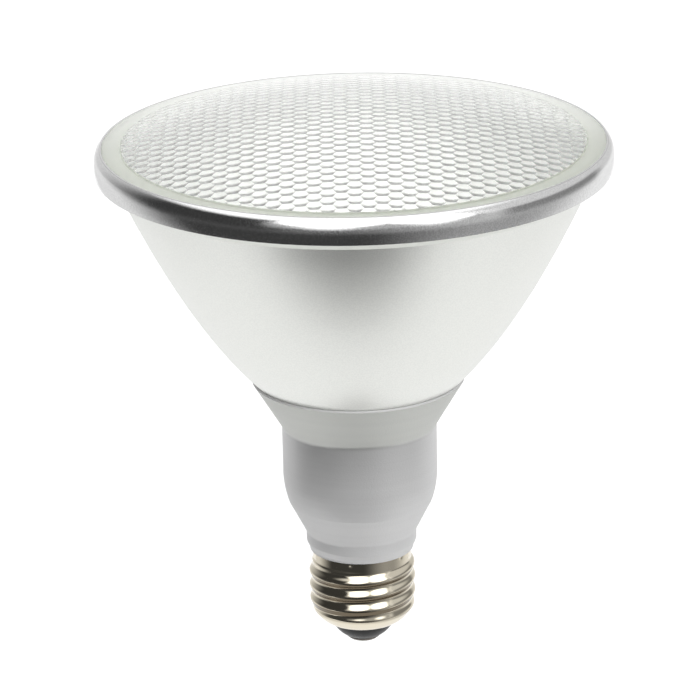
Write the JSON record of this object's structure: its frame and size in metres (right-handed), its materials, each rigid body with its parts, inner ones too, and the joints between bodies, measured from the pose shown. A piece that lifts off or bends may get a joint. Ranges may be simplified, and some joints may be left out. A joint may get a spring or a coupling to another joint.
{
  "type": "par spotlight bulb",
  "caption": "Halogen reflector spotlight bulb: domed lens with hexagonal lenticules, parabolic silvered bowl with a beaded rim, and a skirted medium screw base.",
  "frame": {"origin": "middle of the centre contact's lower face, where the bulb meets its socket", "axes": "+Z along the bulb's axis from the base to the lens; -Y is the side seen in the picture; X is across the two support posts"},
  "size_m": [0.124, 0.124, 0.1349],
  "materials": {
    "lens_glass": "gloss",
    "silvered_glass": "satin",
    "quartz": "gloss",
    "tungsten": "satin",
    "molybdenum": "satin",
    "nickel_wire": "satin",
    "skirt_aluminium": "satin",
    "cement": "matte",
    "nickelled_shell": "gloss",
    "black_glass": "gloss",
    "contact_brass": "satin",
    "copper_wire": "satin",
    "solder": "satin"
  },
  "bodies": {
    "root": {"lens": "lens_glass", "reflector": "silvered_glass", "halogen_capsule": "quartz", "filament": "tungsten", "seal_foil_left": "molybdenum", "seal_foil_right": "molybdenum", "capsule_lead_left": "molybdenum", "capsule_lead_right": "molybdenum", "support_post_left": "nickel_wire", "support_post_right": "nickel_wire", "ferrule_left": "nickel_wire", "ferrule_right": "nickel_wire", "skirt": "skirt_aluminium", "neck_cement": "cement", "screw_shell": "nickelled_shell", "base_insulator": "black_glass", "centre_contact": "contact_brass", "contact_wire": "copper_wire", "shell_wire": "copper_wire", "shell_solder": "solder"}
  },
  "joints": []
}
